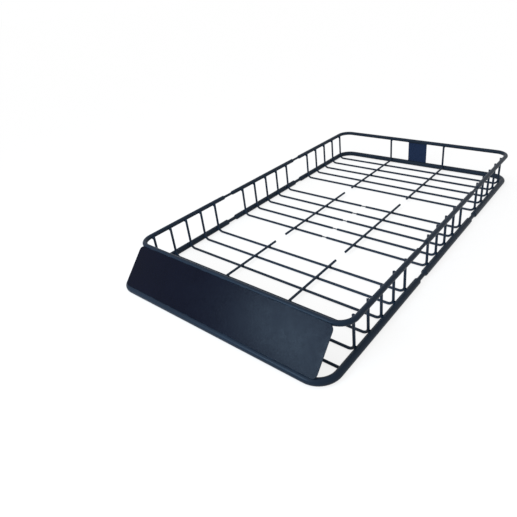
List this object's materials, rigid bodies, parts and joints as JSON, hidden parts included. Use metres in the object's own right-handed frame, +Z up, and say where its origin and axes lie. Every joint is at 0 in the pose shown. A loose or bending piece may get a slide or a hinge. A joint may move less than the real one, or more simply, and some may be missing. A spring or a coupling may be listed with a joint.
{
  "type": "roof basket",
  "caption": "Open car roof basket of black coated steel tube and bent rod, with a sloped wind fairing, a split middle extension and a rear section that plug together.",
  "frame": {"origin": "middle of the underside, on the surface that the bottom rails and cross-bars rest on", "axes": "+Y towards the rear, so the wind fairing faces -Y; +X to the right-hand side; +Z up"},
  "size_m": [0.9906, 1.6964, 0.1524],
  "materials": {
    "rail_coat": "semi-gloss black powder coat",
    "rod_coat": "semi-gloss black powder coat",
    "fairing_coat": "satin blue-black powder coat",
    "plate_coat": "satin black powder coat"
  },
  "bodies": {
    "root": {"extension_left_bottom_rail": "rail_coat", "extension_left_floor_bar": "rod_coat", "extension_left_hoop_1": "rod_coat", "extension_left_hoop_2": "rod_coat", "extension_left_hoop_3": "rod_coat", "extension_left_hoop_4": "rod_coat", "extension_left_hoop_5": "rod_coat", "extension_left_top_rail": "rail_coat", "extension_right_bottom_rail": "rail_coat", "extension_right_floor_bar": "rod_coat", "extension_right_hoop_1": "rod_coat", "extension_right_hoop_2": "rod_coat", "extension_right_hoop_3": "rod_coat", "extension_right_hoop_4": "rod_coat", "extension_right_hoop_5": "rod_coat", "extension_right_top_rail": "rail_coat", "front_bottom_rail": "rail_coat", "front_floor_bar_left": "rod_coat", "front_floor_bar_right": "rod_coat", "front_hoop_1": "rod_coat", "front_hoop_2": "rod_coat", "front_hoop_3": "rod_coat", "front_hoop_4": "rod_coat", "front_hoop_5": "rod_coat", "front_sill_bar": "rod_coat", "front_top_rail": "rail_coat", "rear_bottom_rail": "rail_coat", "rear_floor_bar_left": "rod_coat", "rear_floor_bar_right": "rod_coat", "rear_hoop_1": "rod_coat", "rear_hoop_2": "rod_coat", "rear_hoop_3": "rod_coat", "rear_hoop_4": "rod_coat", "rear_hoop_5": "rod_coat", "rear_plate": "plate_coat", "rear_top_rail": "rail_coat", "wind_fairing": "fairing_coat"}
  },
  "joints": []
}
